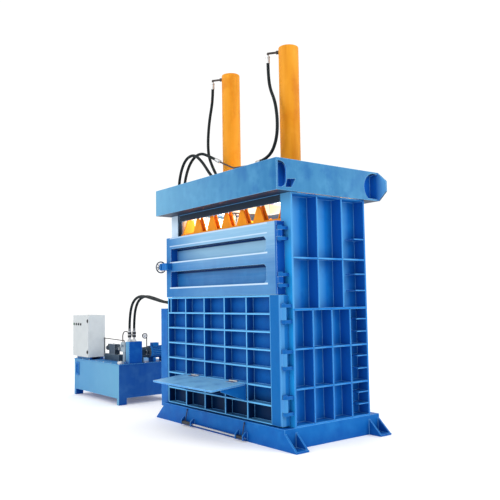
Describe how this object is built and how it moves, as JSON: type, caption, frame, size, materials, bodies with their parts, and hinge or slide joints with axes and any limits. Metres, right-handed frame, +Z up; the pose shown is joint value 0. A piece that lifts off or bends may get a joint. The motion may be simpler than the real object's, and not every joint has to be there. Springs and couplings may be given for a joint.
{
  "type": "recycling baler",
  "caption": "Vertical hydraulic baling press with ribbed walls and doors, twin cylinders on a crown beam, toothed platen, feed shelf and a separate hydraulic power unit.",
  "frame": {"origin": "on the floor, at the centre of the press's four anchor holes", "axes": "+Z up, +X along the front to the right seen from the front, -Y out of the doors"},
  "size_m": [5.6596, 1.8819, 4.445],
  "materials": {
    "blue_paint": "semi-gloss enamel",
    "orange_paint": "semi-gloss enamel",
    "floor_steel": "worn enamel",
    "bright_steel": "zinc plated",
    "chromed_steel": "polished",
    "bronze": "turned",
    "dark_steel": "black oxide",
    "zinc_grey": "phosphated",
    "cabinet_paint": "textured powder coat",
    "black_plastic": "matte",
    "green_plastic": "gloss",
    "gauge_steel": "satin",
    "hose_rubber": "matte"
  },
  "bodies": {
    "frame": {"base_frame": "blue_paint", "right_side_wall": "blue_paint", "left_side_wall": "blue_paint", "rear_wall": "blue_paint", "crown": "blue_paint", "lock_post": "blue_paint", "door_hinge_brackets": "blue_paint", "lock_bracket": "blue_paint", "tank": "blue_paint", "tank_cover": "blue_paint", "manifold": "blue_paint", "motor": "blue_paint", "left_cylinder_barrel": "orange_paint", "right_cylinder_barrel": "orange_paint", "chamber_floor": "floor_steel", "door_hinge_pins": "bright_steel", "cylinder_flange_bolts": "bright_steel", "port_elbows": "bright_steel", "hose_ends": "bright_steel", "crown_tee": "bright_steel", "crown_pipe": "bright_steel", "pump_pipe": "bright_steel", "link_pipe": "bright_steel", "ejector_bar": "bright_steel", "cabinet_hinges": "bright_steel", "cylinder_glands": "bronze", "ejector_rollers": "dark_steel", "ejector_ropes": "dark_steel", "bell_housing": "dark_steel", "pump": "dark_steel", "directional_valve": "dark_steel", "relief_valve": "zinc_grey", "cabinet_box": "cabinet_paint", "level_gauge": "black_plastic", "dial_gauge": "gauge_steel", "supply_hose_front": "hose_rubber", "supply_hose_rear": "hose_rubber", "left_cylinder_hose": "hose_rubber", "right_cylinder_hose": "hose_rubber"},
    "ram": {"platen": "orange_paint", "left_piston_rod": "chromed_steel", "right_piston_rod": "chromed_steel", "rod_flange_bolts": "bright_steel"},
    "lower_door": {"lower_door": "blue_paint", "shelf_brackets": "blue_paint", "shelf_hinge_door_leaves": "bright_steel"},
    "shelf": {"feed_shelf": "blue_paint", "shelf_hinge_shelf_leaves": "bright_steel"},
    "upper_door": {"upper_door": "blue_paint", "lock_keeper": "blue_paint"},
    "lock_bolt": {"lock_bolt": "bright_steel"},
    "handwheel": {"handwheel": "chromed_steel"},
    "cabinet_door": {"cabinet_door": "cabinet_paint", "door_controls": "black_plastic"},
    "upper_cabinet_lock": {"upper_cabinet_lock": "black_plastic"},
    "lower_cabinet_lock": {"lower_cabinet_lock": "black_plastic"},
    "start_button": {"start_button": "green_plastic"},
    "stop_button": {"stop_button": "black_plastic"},
    "filler_cap": {"filler_cap": "bright_steel"},
    "gauge_needle": {"gauge_needle": "black_plastic"}
  },
  "joints": [
    {"name": "ram_stroke", "type": "slide", "parent": "frame", "child": "ram", "axis": [0, 0, -1], "range_m": [0, 1.4]},
    {"name": "lower_door_swing", "type": "hinge", "parent": "frame", "child": "lower_door", "pos_m": [1.15, -0.64, 0.882], "axis": [0, 0, 1], "range_deg": [0, 110]},
    {"name": "upper_door_swing", "type": "hinge", "parent": "frame", "child": "upper_door", "pos_m": [1.112, -0.64, 1.926], "axis": [0, 0, 1], "range_deg": [0, 110]},
    {"name": "shelf_fold", "type": "hinge", "parent": "lower_door", "child": "shelf", "pos_m": [-0.079, -0.669, 0.61], "axis": [-1, 0, 0], "range_deg": [0, 93]},
    {"name": "handwheel_turn", "type": "hinge", "parent": "frame", "child": "handwheel", "pos_m": [-1.208, -0.705, 1.935], "axis": [1, 0, 0], "range_deg": [0, 1440]},
    {"name": "lock_bolt_slide", "type": "slide", "parent": "frame", "child": "lock_bolt", "axis": [1, 0, 0], "range_m": [0, 0.048]},
    {"name": "cabinet_door_swing", "type": "hinge", "parent": "frame", "child": "cabinet_door", "pos_m": [-4.2926, -0.623, 0.955], "axis": [0, 0, -1], "range_deg": [0, 110]},
    {"name": "upper_lock_turn", "type": "hinge", "parent": "cabinet_door", "child": "upper_cabinet_lock", "pos_m": [-3.705, -0.63, 1.196], "axis": [0, -1, 0], "range_deg": [0, 90]},
    {"name": "lower_lock_turn", "type": "hinge", "parent": "cabinet_door", "child": "lower_cabinet_lock", "pos_m": [-3.705, -0.63, 0.702], "axis": [0, -1, 0], "range_deg": [0, 90]},
    {"name": "start_button_press", "type": "slide", "parent": "cabinet_door", "child": "start_button", "axis": [0, 1, 0], "range_m": [0, 0.005], "stiffness_N_per_m": 600},
    {"name": "stop_button_press", "type": "slide", "parent": "cabinet_door", "child": "stop_button", "axis": [0, 1, 0], "range_m": [0, 0.005], "stiffness_N_per_m": 600},
    {"name": "filler_cap_lift", "type": "slide", "parent": "frame", "child": "filler_cap", "axis": [0, 0, 1], "range_m": [0, 0.08]},
    {"name": "gauge_needle_turn", "type": "hinge", "parent": "frame", "child": "gauge_needle", "pos_m": [-2.655, -0.165, 0.978], "axis": [-1, 0, 0], "range_deg": [0, 270]}
  ],
  "couplings": [
    {"joint": "lock_bolt_slide", "follows": "handwheel_turn", "m_per_rad": 0.0019099}
  ]
}
